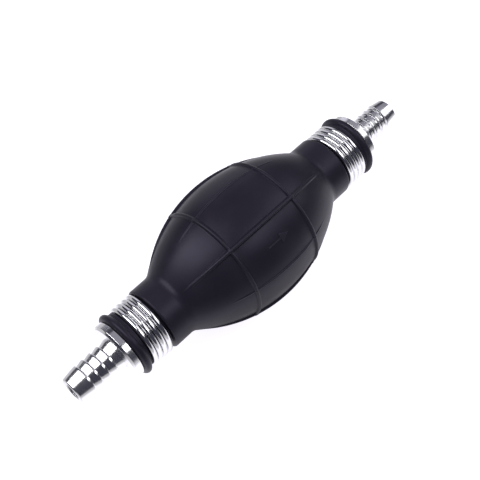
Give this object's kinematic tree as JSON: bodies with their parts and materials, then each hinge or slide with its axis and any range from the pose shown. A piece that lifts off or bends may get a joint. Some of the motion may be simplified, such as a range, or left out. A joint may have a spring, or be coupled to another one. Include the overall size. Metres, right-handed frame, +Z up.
{
  "type": "siphon bulb pump",
  "caption": "Hand-squeezed ribbed rubber bulb with a one-way valve and a barbed hose fitting clamped into each neck, for moving fuel through a hose.",
  "frame": {"origin": "middle of the bulb, on the flow axis", "axes": "+X along the flow axis, from inlet to outlet; +Z up; +Y from the thumb's side to the fingers' side"},
  "size_m": [0.1392, 0.042, 0.042],
  "materials": {
    "bulb_rubber": "matt black moulded rubber",
    "fitting_aluminium": "satin turned",
    "clamp_steel": "bright drawn wire",
    "valve_brass": "turned",
    "cage_nylon": "moulded",
    "seal_rubber": "smooth",
    "spring_steel": "drawn wire"
  },
  "bodies": {
    "pump_body": {"bulb": "bulb_rubber", "inlet_fitting": "fitting_aluminium", "outlet_fitting": "fitting_aluminium", "inlet_clamp": "clamp_steel", "outlet_clamp": "clamp_steel", "inlet_valve_seat": "valve_brass", "outlet_valve_seat": "valve_brass", "inlet_seat_ring": "seal_rubber", "outlet_seat_ring": "seal_rubber", "inlet_valve_cage": "cage_nylon", "outlet_valve_cage": "cage_nylon", "inlet_valve_spring": "spring_steel", "outlet_valve_spring": "spring_steel", "inlet_snap_ring": "spring_steel", "outlet_snap_ring": "spring_steel"},
    "thumb_side": {"thumb_panel": "bulb_rubber"},
    "finger_side": {"finger_panel": "bulb_rubber"},
    "inlet_valve": {"inlet_poppet": "valve_brass", "inlet_poppet_seal": "seal_rubber"},
    "outlet_valve": {"outlet_poppet": "valve_brass", "outlet_poppet_seal": "seal_rubber"}
  },
  "joints": [
    {"name": "thumb_squeeze", "type": "slide", "parent": "pump_body", "child": "thumb_side", "axis": [0, 1, 0], "range_m": [0, 0.007], "stiffness_N_per_m": 2500},
    {"name": "finger_squeeze", "type": "slide", "parent": "pump_body", "child": "finger_side", "axis": [0, -1, 0], "range_m": [0, 0.007], "stiffness_N_per_m": 2500},
    {"name": "inlet_valve_lift", "type": "slide", "parent": "pump_body", "child": "inlet_valve", "axis": [1, 0, 0], "range_m": [0, 0.002], "stiffness_N_per_m": 60, "springref_m": -0.002, "deforming": ["inlet_valve_spring"]},
    {"name": "outlet_valve_lift", "type": "slide", "parent": "pump_body", "child": "outlet_valve", "axis": [1, 0, 0], "range_m": [0, 0.002], "stiffness_N_per_m": 60, "springref_m": -0.002, "deforming": ["outlet_valve_spring"]}
  ],
  "couplings": [
    {"joint": "finger_squeeze", "follows": "thumb_squeeze", "ratio": 1}
  ]
}
